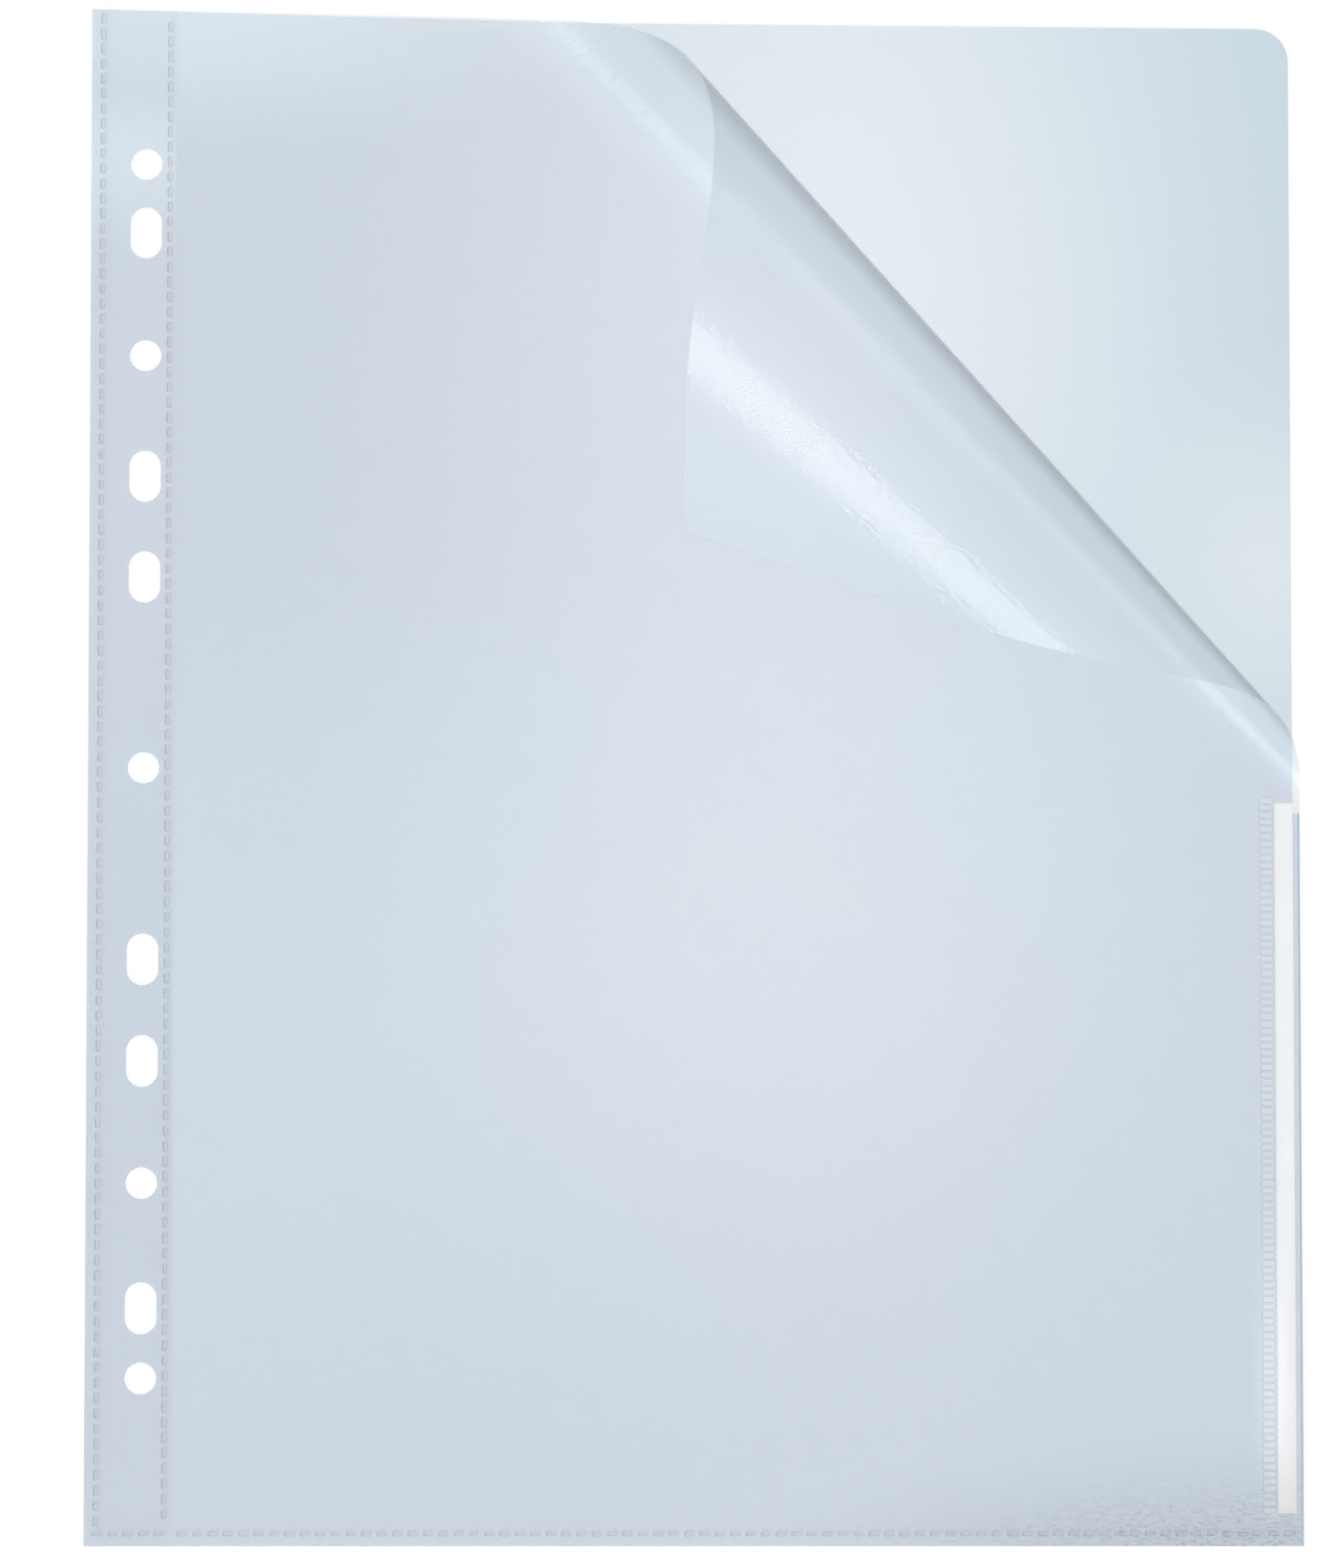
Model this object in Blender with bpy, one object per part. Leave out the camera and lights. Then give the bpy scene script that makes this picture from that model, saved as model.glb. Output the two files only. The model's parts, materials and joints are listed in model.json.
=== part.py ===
"""A4 punched pocket of clear film, lying flat, with the free corner of its front rolled back.

X runs across the page, Y up the page and Z up from the table. The origin is under the middle of the pocket.
The film is cut where it bends: at the crease of the binding margin and along the rolls of the free corner.
"""
import math

import bmesh
import bpy
from mathutils import Matrix, Vector

# The pocket
POCKET_WIDTH = 0.2382
POCKET_HEIGHT = 0.3038
FILM = 0.00018
FILM_SPACING = 0.0006
SEAT = 0.0001

# The binding margin, measured from the left edge
CREASE_INSET = 0.0166
CREASE_SLIT = 0.0003
HOLE_LINE_INSET = 0.0109
HOLE_ROW_RAISE = 0.0008
HOLE_DIAMETER = 0.0062
SLOT_LENGTH = 0.0102
ROUND_HOLES = (0.0, 0.0818, 0.1200)
SLOTTED_HOLES = (0.0378, 0.0578, 0.1063)
HOLE_SIDES = 24

# The welds
WELD_WIDTH = 0.0010
OUTER_WELD_INSET = 0.0023
INNER_WELD_INSET = 0.0156
BOTTOM_WELD_INSET = 0.0024
WELD_END_CLEARANCE = 0.0008
LABEL_WELD_INSET = 0.0068
LABEL_WELD_WIDTH = 0.0027
LABEL_WELD_RAISE = 0.0062
LABEL_WELD_STANDOUT = 0.0031

# The top edges, which fall a little from the binding side to the right
FRONT_TOP_FALL = 0.0018
BACK_KNEE_INSET = 0.0996
BACK_KNEE_FALL = 0.0028
BACK_CORNER_FALL = 0.0041
BACK_EDGE_INSET = 0.0014
BACK_CORNER_RADIUS = 0.0066
CORNER_STEPS = 8

# The side fold and the label in its channel
FOLD_LENGTH = 0.1436
FOLD_STEPS = 8
LABEL_WIDTH = 0.0036
LABEL_THICKNESS = 0.0002
LABEL_INSET = 0.0032
LABEL_RAISE = 0.0064
LABEL_STANDOUT = 0.0020

# The rolled corner of the front: folds that fan out from an apex right of the fold and below its top end
APEX_OUT = 0.0903
APEX_DOWN = 0.0872
FLAP_OVERHANG = 0.0017
FLAP_CORNER_FALL = 0.0080
FLAP_CORNER_RADIUS = 0.0025
FLAP_FOLDS = 12
FOLD_SLIT = 0.0003
TIP_LIFT = 0.0013
LEAST_TURN = math.pi
MOST_TURN = 1.6 * math.pi
TURN_HALVINGS = 50
EVEN_SHARE = 0.38
ROLLED_SHARE = 0.87

# Places that follow from the sizes
LEFT = -POCKET_WIDTH / 2
RIGHT = POCKET_WIDTH / 2
BOTTOM = -POCKET_HEIGHT / 2
TOP = POCKET_HEIGHT / 2
BACK_TOP = FILM
FRONT_BASE = FILM + FILM_SPACING
STACK = FRONT_BASE + FILM
CREASE = LEFT + CREASE_INSET
FOLD_TOP = BOTTOM + FOLD_LENGTH
FOLD_START = RIGHT - STACK / 2
APEX = Vector((RIGHT + APEX_OUT, FOLD_TOP - APEX_DOWN))
FLAP_CORNER = Vector((RIGHT + FLAP_OVERHANG, TOP - FLAP_CORNER_FALL))
FREE_EDGE_END = Vector((RIGHT, FOLD_TOP))


def clear_scene():
    """Remove every object, so that the script starts from an empty scene."""
    for item in list(bpy.data.objects):
        bpy.data.objects.remove(item, do_unlink=True)


def material(name, colour, roughness, alpha=1.0):
    """Make a plain Principled material."""
    made = bpy.data.materials.new(name)
    made.use_nodes = True
    shader = made.node_tree.nodes["Principled BSDF"]
    shader.inputs["Base Color"].default_value = (*colour, 1.0)
    shader.inputs["Roughness"].default_value = roughness
    shader.inputs["Metallic"].default_value = 0.0
    shader.inputs["Alpha"].default_value = alpha
    return made


def film_material(name):
    """Clear polypropylene with a faint blue tint."""
    return material(name, (0.52, 0.62, 0.70), 0.18, 0.55)


def weld_material(name):
    """Film that was melted together, a little paler than the sheet."""
    return material(name, (0.66, 0.74, 0.80), 0.30, 0.70)


def paper_material(name):
    """White label paper."""
    return material(name, (0.86, 0.86, 0.86), 0.85)


def link_mesh(name, mesh_data, finish, parent=None):
    """Turn a bmesh into a named object with one material."""
    bmesh.ops.recalc_face_normals(mesh_data, faces=mesh_data.faces)
    mesh = bpy.data.meshes.new(name)
    mesh_data.to_mesh(mesh)
    mesh_data.free()
    mesh.materials.append(finish)
    made = bpy.data.objects.new(name, mesh)
    bpy.context.scene.collection.objects.link(made)
    made.parent = parent
    return made


def extruded(outline, rise):
    """Sweep a closed outline of 3D points along the vector rise into a closed solid."""
    solid = bmesh.new()
    face = solid.faces.new([solid.verts.new(point) for point in outline])
    swept = bmesh.ops.extrude_face_region(solid, geom=[face])
    moved = [item for item in swept["geom"] if isinstance(item, bmesh.types.BMVert)]
    bmesh.ops.translate(solid, verts=moved, vec=rise)
    return solid


def sheet(name, outline, low, high, finish, parent=None):
    """A flat piece between the heights low and high, with an outline of (x, y) points."""
    base = [(x, y, low) for x, y in outline]
    return link_mesh(name, extruded(base, Vector((0, 0, high - low))), finish, parent)


def arc(centre, radius, start, end, steps):
    """Points on a circle from one angle to another."""
    angles = [start + (end - start) * step / steps for step in range(steps + 1)]
    return [(centre[0] + radius * math.cos(a), centre[1] + radius * math.sin(a)) for a in angles]


def rounded_corner(before, corner, after, radius, steps):
    """Points of the arc that rounds off the corner between two straight edges."""
    inward = (before - corner).normalized()
    outward = (after - corner).normalized()
    half_angle = inward.angle(outward) / 2
    setback = radius / math.tan(half_angle)
    middle = (inward + outward).normalized() * radius / math.sin(half_angle)
    centre = corner + middle
    spokes = (corner + inward * setback - centre, corner + outward * setback - centre)
    first = math.atan2(spokes[0].y, spokes[0].x)
    sweep = math.remainder(math.atan2(spokes[1].y, spokes[1].x) - first, math.tau)
    return arc(centre, radius, first, first + sweep, steps)


def meet(point_a, way_a, point_b, way_b):
    """Where two lines in the sheet cross."""
    share = (point_b - point_a).cross(way_b) / way_a.cross(way_b)
    return point_a + way_a * share


def front_top(x):
    """Height of the top edge up the page, over the binding margin and the flat part of the front."""
    return TOP - FRONT_TOP_FALL * (x - LEFT) / (ROLL_START.x - LEFT)


def fan_angle(share):
    """Angle of the fold line at a share of the fan, seen from the apex."""
    return FAN_FIRST + (FAN_LAST - FAN_FIRST) * share


def fan_ray(share):
    """Direction of a fold line in the flat sheet, away from the apex."""
    angle = fan_angle(share)
    return Vector((math.cos(angle), math.sin(angle)))


def fan_share(turned):
    """Share of the fan at which the film has made this share of its turn.

    The roll is even up to EVEN_SHARE and then opens out until the film is straight at ROLLED_SHARE.
    """
    fade = ROLLED_SHARE - EVEN_SHARE
    used = turned * (EVEN_SHARE + ROLLED_SHARE) / 2
    if used <= EVEN_SHARE:
        return used
    return ROLLED_SHARE - math.sqrt(fade * fade - 2 * fade * (used - EVEN_SHARE))


def fold_frame(ray):
    """Frame of a fold in the flat front: X to the apex, Y towards the free corner, origin mid-way on the fold."""
    near = meet(APEX, ray, FREE_EDGE_END, FLAP_CORNER - FREE_EDGE_END)
    far = meet(APEX, ray, ROLL_START, FLAP_CORNER - ROLL_START)
    middle = (near + far) / 2
    turn = math.atan2(-ray.y, -ray.x)
    return Matrix.Translation((middle.x, middle.y, FRONT_BASE + FILM / 2)) @ Matrix.Rotation(turn, 4, "Z")


def fold_steps(fold_angle):
    """Placement of each rolled strip relative to the one before it."""
    before = Matrix.Identity(4)
    steps = []
    for ray in FOLD_RAYS:
        here = fold_frame(ray)
        steps.append(before.inverted() @ here @ Matrix.Rotation(fold_angle, 4, "X"))
        before = here
    return steps


def tip_height(fold_angle):
    """Height of the free corner above the flat front when every fold has this angle."""
    placed = Matrix.Identity(4)
    for step in fold_steps(fold_angle):
        placed = placed @ step
    flat_corner = Vector((FLAP_CORNER.x, FLAP_CORNER.y, FRONT_BASE + FILM / 2))
    tip = placed @ fold_frame(FOLD_RAYS[-1]).inverted() @ flat_corner
    return tip.z - FILM - STACK


def fold_angle_for_tip():
    """The fold angle that lets the free corner down to TIP_LIFT above the front."""
    low = LEAST_TURN / FLAP_FOLDS
    high = MOST_TURN / FLAP_FOLDS
    for _ in range(TURN_HALVINGS):
        middle = (low + high) / 2
        if tip_height(middle) > TIP_LIFT:
            low = middle
        else:
            high = middle
    return low


def hole_cutter(name, thickness):
    """All the punched holes of the margin as one cutting tool, long enough for the given thickness."""
    tool = bmesh.new()
    column = LEFT + HOLE_LINE_INSET
    radius = HOLE_DIAMETER / 2
    for offsets, straight in ((ROUND_HOLES, 0.0), (SLOTTED_HOLES, SLOT_LENGTH - HOLE_DIAMETER)):
        for place in sorted({sign * offset for offset in offsets for sign in (1, -1)}):
            row = HOLE_ROW_RAISE + place
            upper = arc((column, row + straight / 2), radius, 0, math.pi, HOLE_SIDES // 2)
            lower = arc((column, row - straight / 2), radius, math.pi, math.tau, HOLE_SIDES // 2)
            outline = upper + lower if straight else upper[:-1] + lower[:-1]
            verts = [tool.verts.new((x, y, -thickness)) for x, y in outline]
            swept = bmesh.ops.extrude_face_region(tool, geom=[tool.faces.new(verts)])
            moved = [item for item in swept["geom"] if isinstance(item, bmesh.types.BMVert)]
            bmesh.ops.translate(tool, verts=moved, vec=(0, 0, 3 * thickness))
    cutter = link_mesh(name, tool, film_material(name))
    cutter.hide_render = True
    cutter.display_type = "WIRE"
    return cutter


def punch(piece, cutter):
    """Cut the holes through a piece."""
    cut = piece.modifiers.new("holes", "BOOLEAN")
    cut.operation = "DIFFERENCE"
    cut.solver = "EXACT"
    cut.object = cutter


def weld_bar(name, left, right, low, high, parent=None):
    """A weld as a bar between the two films."""
    outline = [(left, low), (right, low), (right, high), (left, high)]
    return sheet(name, outline, BACK_TOP + SEAT, FRONT_BASE - SEAT, weld_material(name), parent)


def build_margin():
    """The punched margin: two films and its welds, on an empty that lies along the crease."""
    crease = bpy.data.objects.new("margin_crease", None)
    crease.location = (CREASE, 0, STACK)
    bpy.context.scene.collection.objects.link(crease)
    edge = CREASE - CREASE_SLIT / 2
    outline = [(LEFT, BOTTOM), (edge, BOTTOM), (edge, front_top(edge)), (LEFT, TOP)]
    cutter = hole_cutter("hole_punch", STACK)
    pieces = []
    for name, low in (("margin_back", 0.0), ("margin_front", FRONT_BASE)):
        film = sheet(name, outline, low, low + FILM, film_material(name))
        punch(film, cutter)
        pieces.append(film)
    row_low = BOTTOM + BOTTOM_WELD_INSET + WELD_WIDTH / 2 + WELD_END_CLEARANCE
    for name, inset in (("outer_margin_weld", OUTER_WELD_INSET), ("inner_margin_weld", INNER_WELD_INSET)):
        left = LEFT + inset - WELD_WIDTH / 2
        right = left + WELD_WIDTH
        pieces.append(weld_bar(name, left, right, row_low, front_top(right) - WELD_END_CLEARANCE))
    foot = BOTTOM + BOTTOM_WELD_INSET - WELD_WIDTH / 2
    pieces.append(weld_bar("margin_bottom_weld", LEFT + WELD_END_CLEARANCE, edge, foot, foot + WELD_WIDTH))
    for piece in pieces:
        piece.data.transform(Matrix.Translation(-crease.location))
        piece.parent = crease
    cutter.data.transform(Matrix.Translation(-crease.location))
    cutter.parent = crease


def build_back_sheet():
    """The rear panel: a plain sheet with a rounded top corner and a set-back free edge above the side fold."""
    edge = CREASE + CREASE_SLIT / 2
    free_edge = RIGHT - BACK_EDGE_INSET
    knee = Vector((CREASE + BACK_KNEE_INSET - CREASE_INSET, TOP - BACK_KNEE_FALL))
    corner = Vector((free_edge, TOP - BACK_CORNER_FALL))
    below = Vector((free_edge, FOLD_TOP))
    outline = [(edge, BOTTOM), (FOLD_START - SEAT, BOTTOM), (FOLD_START - SEAT, FOLD_TOP + SEAT)]
    outline.append((free_edge, FOLD_TOP + SEAT))
    outline += rounded_corner(below, corner, knee, BACK_CORNER_RADIUS, CORNER_STEPS)
    outline += [tuple(knee), (edge, front_top(edge))]
    sheet("back_sheet", outline, 0.0, FILM, film_material("back_sheet"))


def build_front_sheet():
    """The flat part of the front panel, up to the first fold of the rolled corner."""
    edge = CREASE + CREASE_SLIT / 2
    ray = FOLD_RAYS[0]
    back = Vector((-ray.y, ray.x)) * FOLD_SLIT / 2
    right_meet = meet(APEX + back, ray, FREE_EDGE_END, FLAP_CORNER - FREE_EDGE_END)
    top_meet = meet(APEX + back, ray, ROLL_START, FLAP_CORNER - ROLL_START)
    outline = [(edge, BOTTOM), (FOLD_START - SEAT, BOTTOM), (FOLD_START - SEAT, FOLD_TOP + SEAT)]
    outline += [(RIGHT, FOLD_TOP + SEAT), tuple(right_meet), tuple(top_meet)]
    outline += [tuple(ROLL_START), (edge, front_top(edge))]
    return sheet("front_sheet", outline, FRONT_BASE, STACK, film_material("front_sheet"))


def build_side_fold():
    """The U-bend that joins front and back along the lower right edge."""
    centre = (FOLD_START, STACK / 2)
    outer = arc(centre, STACK / 2, -math.pi / 2, math.pi / 2, FOLD_STEPS)
    inner = arc(centre, FILM_SPACING / 2, math.pi / 2, -math.pi / 2, FOLD_STEPS)
    outline = [(x, BOTTOM, z) for x, z in outer + inner]
    bend = extruded(outline, Vector((0, FOLD_LENGTH, 0)))
    link_mesh("side_fold", bend, film_material("side_fold"))


def build_pocket_welds():
    """The bottom row right of the crease, and the ladder weld beside the label."""
    foot = BOTTOM + BOTTOM_WELD_INSET - WELD_WIDTH / 2
    weld_bar("bottom_weld", CREASE + CREASE_SLIT / 2, FOLD_START - SEAT, foot, foot + WELD_WIDTH)
    left = RIGHT - LABEL_WELD_INSET - LABEL_WELD_WIDTH / 2
    low = BOTTOM + LABEL_WELD_RAISE
    high = FOLD_TOP + LABEL_WELD_STANDOUT
    weld_bar("label_weld", left, left + LABEL_WELD_WIDTH, low, high)


def build_label():
    """The paper strip that slides up out of its channel, with its origin in its middle."""
    half_width = LABEL_WIDTH / 2
    half_length = (FOLD_LENGTH - LABEL_RAISE + LABEL_STANDOUT) / 2
    outline = [(-half_width, -half_length), (half_width, -half_length)]
    outline += [(half_width, half_length), (-half_width, half_length)]
    half_thickness = LABEL_THICKNESS / 2
    finish = paper_material("label_strip")
    strip = sheet("label_strip", outline, -half_thickness, half_thickness, finish)
    strip.location = (RIGHT - LABEL_INSET, BOTTOM + LABEL_RAISE + half_length, STACK / 2)


def strip_outline(index):
    """Outline of a rolled strip in the flat front, between its own fold and the next one or the corner."""
    edges = [(FOLD_RAYS[index], -1)]
    if index + 1 < FLAP_FOLDS:
        edges.append((FOLD_RAYS[index + 1], 1))
    near = []
    far = []
    for ray, side in edges:
        shift = Vector((-ray.y, ray.x)) * side * FOLD_SLIT / 2
        near.append(meet(APEX + shift, ray, FREE_EDGE_END, FLAP_CORNER - FREE_EDGE_END))
        far.append(meet(APEX + shift, ray, ROLL_START, FLAP_CORNER - ROLL_START))
    if len(edges) == 2:
        return [tuple(point) for point in (near[0], near[1], far[1], far[0])]
    tip = rounded_corner(near[0], FLAP_CORNER, far[0], FLAP_CORNER_RADIUS, CORNER_STEPS)
    return [tuple(near[0])] + tip + [tuple(far[0])]


def build_flap():
    """The rolled corner: a chain of strips, each hinged on the one before along a fold of the fan."""
    parent = None
    for index, step in enumerate(fold_steps(fold_angle_for_tip())):
        name = f"flap_strip_{index + 1:02d}" if index + 1 < FLAP_FOLDS else "flap_corner"
        to_fold = fold_frame(FOLD_RAYS[index]).inverted()
        strip = sheet(name, strip_outline(index), FRONT_BASE, STACK, film_material(name), parent)
        strip.data.transform(to_fold)
        strip.matrix_parent_inverse = Matrix.Identity(4)
        strip.matrix_local = step
        parent = strip


# The fan of folds, from the end of the side fold to the free corner
FAN_FIRST = math.atan2(APEX_DOWN, -APEX_OUT)
FAN_LAST = math.atan2(FLAP_CORNER.y - APEX.y, FLAP_CORNER.x - APEX.x)
ROLL_START = meet(APEX, fan_ray(0.0), Vector((LEFT, TOP - FRONT_TOP_FALL)), Vector((1, 0)))
FOLD_RAYS = [fan_ray(fan_share((index + 0.5) / FLAP_FOLDS)) for index in range(FLAP_FOLDS)]

clear_scene()
build_margin()
build_back_sheet()
build_front_sheet()
build_side_fold()
build_pocket_welds()
build_label()
build_flap()
bpy.context.view_layer.update()
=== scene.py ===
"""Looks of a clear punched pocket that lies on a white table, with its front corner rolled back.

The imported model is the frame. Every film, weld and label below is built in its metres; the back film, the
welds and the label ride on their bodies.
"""
import json
import math

import bmesh
import bpy
from mathutils import Matrix, Quaternion, Vector
from mathutils.geometry import delaunay_2d_cdt, intersect_line_line
from mathutils.kdtree import KDTree

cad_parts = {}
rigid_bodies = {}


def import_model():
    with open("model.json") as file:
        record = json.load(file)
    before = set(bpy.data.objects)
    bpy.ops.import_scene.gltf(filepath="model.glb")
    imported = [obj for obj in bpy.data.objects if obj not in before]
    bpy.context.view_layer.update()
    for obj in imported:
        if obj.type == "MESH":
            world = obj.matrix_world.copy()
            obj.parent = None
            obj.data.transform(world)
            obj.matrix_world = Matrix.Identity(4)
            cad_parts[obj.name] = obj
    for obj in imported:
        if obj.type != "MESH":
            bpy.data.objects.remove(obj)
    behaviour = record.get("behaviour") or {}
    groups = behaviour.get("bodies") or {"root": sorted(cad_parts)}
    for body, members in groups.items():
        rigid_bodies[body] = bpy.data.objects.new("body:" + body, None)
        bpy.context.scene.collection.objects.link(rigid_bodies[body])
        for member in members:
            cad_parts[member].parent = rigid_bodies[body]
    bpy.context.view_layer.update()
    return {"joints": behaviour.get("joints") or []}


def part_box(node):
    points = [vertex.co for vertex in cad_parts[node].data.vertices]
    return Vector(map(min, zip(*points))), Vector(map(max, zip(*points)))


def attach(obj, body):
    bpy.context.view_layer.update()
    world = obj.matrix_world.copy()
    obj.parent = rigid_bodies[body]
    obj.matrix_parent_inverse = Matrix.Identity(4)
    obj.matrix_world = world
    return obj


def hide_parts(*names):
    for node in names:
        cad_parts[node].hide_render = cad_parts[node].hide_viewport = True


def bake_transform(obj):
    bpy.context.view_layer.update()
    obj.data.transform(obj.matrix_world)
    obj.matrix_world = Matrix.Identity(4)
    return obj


for leftover in list(bpy.data.objects):
    bpy.data.objects.remove(leftover, do_unlink=True)
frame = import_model()
joints = {joint["name"]: joint for joint in frame["joints"]}


# The back film is the rear panel of the pocket: one sheet of clear embossed polypropylene with a rounded
# top corner. Along its lower right edge it turns over in a tight fold and runs on as the front.
margin_low, margin_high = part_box("margin_front")
fold_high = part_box("side_fold")[1]
LEFT = margin_low.x
RIGHT = fold_high.x
BOTTOM = margin_low.y
TOP = margin_high.y
STACK = margin_high.z
FRONT_BASE = margin_low.z
FILM = STACK - FRONT_BASE
BACK_MIDDLE = FILM / 2
FRONT_MIDDLE = STACK - FILM / 2
FOLD_TOP = fold_high.y
FOLD_RADIUS = (FRONT_MIDDLE - BACK_MIDDLE) / 2
FOLD_START = RIGHT - STACK / 2
FOLD_TURNS = 10
CREASE = joints["margin_fold"]["pos_m"][0]
CREASE_JOIN = CREASE + 0.0003
FRONT_TOP_FALL = 0.0018
BACK_KNEE = Vector((LEFT + 0.0996, TOP - 0.0028))
BACK_CORNER = Vector((RIGHT - 0.0014, TOP - 0.0041))
BACK_CORNER_RADIUS = 0.0066
CORNER_STEPS = 16
SHEET_GRID = 0.006
EDGE_STEP = 0.003
RIM_CLEARANCE = 0.45
CUT_TOLERANCE = 1e-7
SAME_POINT = 1e-6


def walk(start, end, step):
    """Points from start up to, but not including, end, no further apart than step."""
    count = max(1, math.ceil((end - start).length / step))
    return [start.lerp(end, place / count) for place in range(count)]


def rounded(before, corner, after, radius, steps):
    """The arc that rounds off a corner between two straight edges."""
    inward = (before - corner).normalized()
    outward = (after - corner).normalized()
    half = inward.angle(outward) / 2
    centre = corner + (inward + outward).normalized() * radius / math.sin(half)
    first = corner + inward * radius / math.tan(half) - centre
    last = corner + outward * radius / math.tan(half) - centre
    sweep = first.angle_signed(last)
    return [centre + Matrix.Rotation(-sweep * place / steps, 2) @ first for place in range(steps + 1)]


def inside(point, loop):
    """Whether a point lies in a closed loop."""
    crossed = False
    for here, there in zip(loop, loop[1:] + loop[:1]):
        if (here.y > point.y) != (there.y > point.y):
            crossed ^= point.x < here.x + (there.x - here.x) * (point.y - here.y) / (there.y - here.y)
    return crossed


def cut_film(outline, holes, grid):
    """Cut a flat film: its points and triangles inside the outline and outside the holes."""
    points = list(outline)
    edges = [(place, (place + 1) % len(outline)) for place in range(len(outline))]
    for hole in holes:
        first = len(points)
        points += hole
        edges += [(first + place, first + (place + 1) % len(hole)) for place in range(len(hole))]
    low_x = min(point.x for point in outline)
    low_y = min(point.y for point in outline)
    columns = math.ceil((max(point.x for point in outline) - low_x) / grid)
    rows = math.ceil((max(point.y for point in outline) - low_y) / grid)
    rim = list(points)
    for row in range(1, rows):
        for column in range(1, columns):
            spot = Vector((low_x + (column + 0.5 * (row % 2)) * grid, low_y + row * grid))
            if not inside(spot, outline) or any(inside(spot, hole) for hole in holes):
                continue
            if min((spot - point).length_squared for point in rim) > (RIM_CLEARANCE * grid) ** 2:
                points.append(spot)
    made = delaunay_2d_cdt(points, edges, [list(range(len(outline)))], 1, CUT_TOLERANCE)
    kept = []
    for face in made[2]:
        middle = sum((made[0][corner] for corner in face), Vector((0, 0))) / len(face)
        if not any(inside(middle, hole) for hole in holes):
            turn = (made[0][face[1]] - made[0][face[0]]).cross(made[0][face[2]] - made[0][face[0]])
            kept.append(list(face) if turn > 0 else list(reversed(face)))
    return made[0], kept


def close_film(name, points, faces, place, seams=()):
    """Give a cut film its thickness: place(point, side) puts a point on the upper (1) or lower (-1) face.

    A seam is a row of points where the film runs on in the next piece. Its wall gets a finish of its own.
    """
    nearby = KDTree(len(points))
    for index, point in enumerate(points):
        nearby.insert((point.x, point.y, 0), index)
    nearby.balance()
    same = [min(found[1] for found in nearby.find_range((point.x, point.y, 0), SAME_POINT))
            for point in points]
    seam_rows = [{same[index] for index in row} for row in seams]
    solid = bmesh.new()
    upper = {}
    lower = {}
    rim = {}
    for face in faces:
        corners = list(dict.fromkeys(same[corner] for corner in face))
        if len(corners) < 3:
            continue
        for corner in corners:
            if corner not in upper:
                upper[corner] = solid.verts.new(place(points[corner], 1))
                lower[corner] = solid.verts.new(place(points[corner], -1))
        solid.faces.new([upper[corner] for corner in corners]).smooth = True
        under = solid.faces.new([lower[corner] for corner in reversed(corners)])
        under.smooth = True
        under.material_index = 1
        for pair in zip(corners, corners[1:] + corners[:1]):
            if pair[::-1] in rim:
                del rim[pair[::-1]]
            else:
                rim[pair] = True
    for here, there in rim:
        wall = solid.faces.new((upper[here], lower[here], lower[there], upper[there]))
        if any(here in row and there in row for row in seam_rows):
            wall.material_index = 2
        solid.edges.get((upper[here], upper[there])).smooth = False
        solid.edges.get((lower[here], lower[there])).smooth = False
    mesh = bpy.data.meshes.new(name)
    solid.to_mesh(mesh)
    solid.free()
    made = bpy.data.objects.new(name, mesh)
    made.visible_glossy = False
    bpy.context.scene.collection.objects.link(made)
    return made


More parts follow.
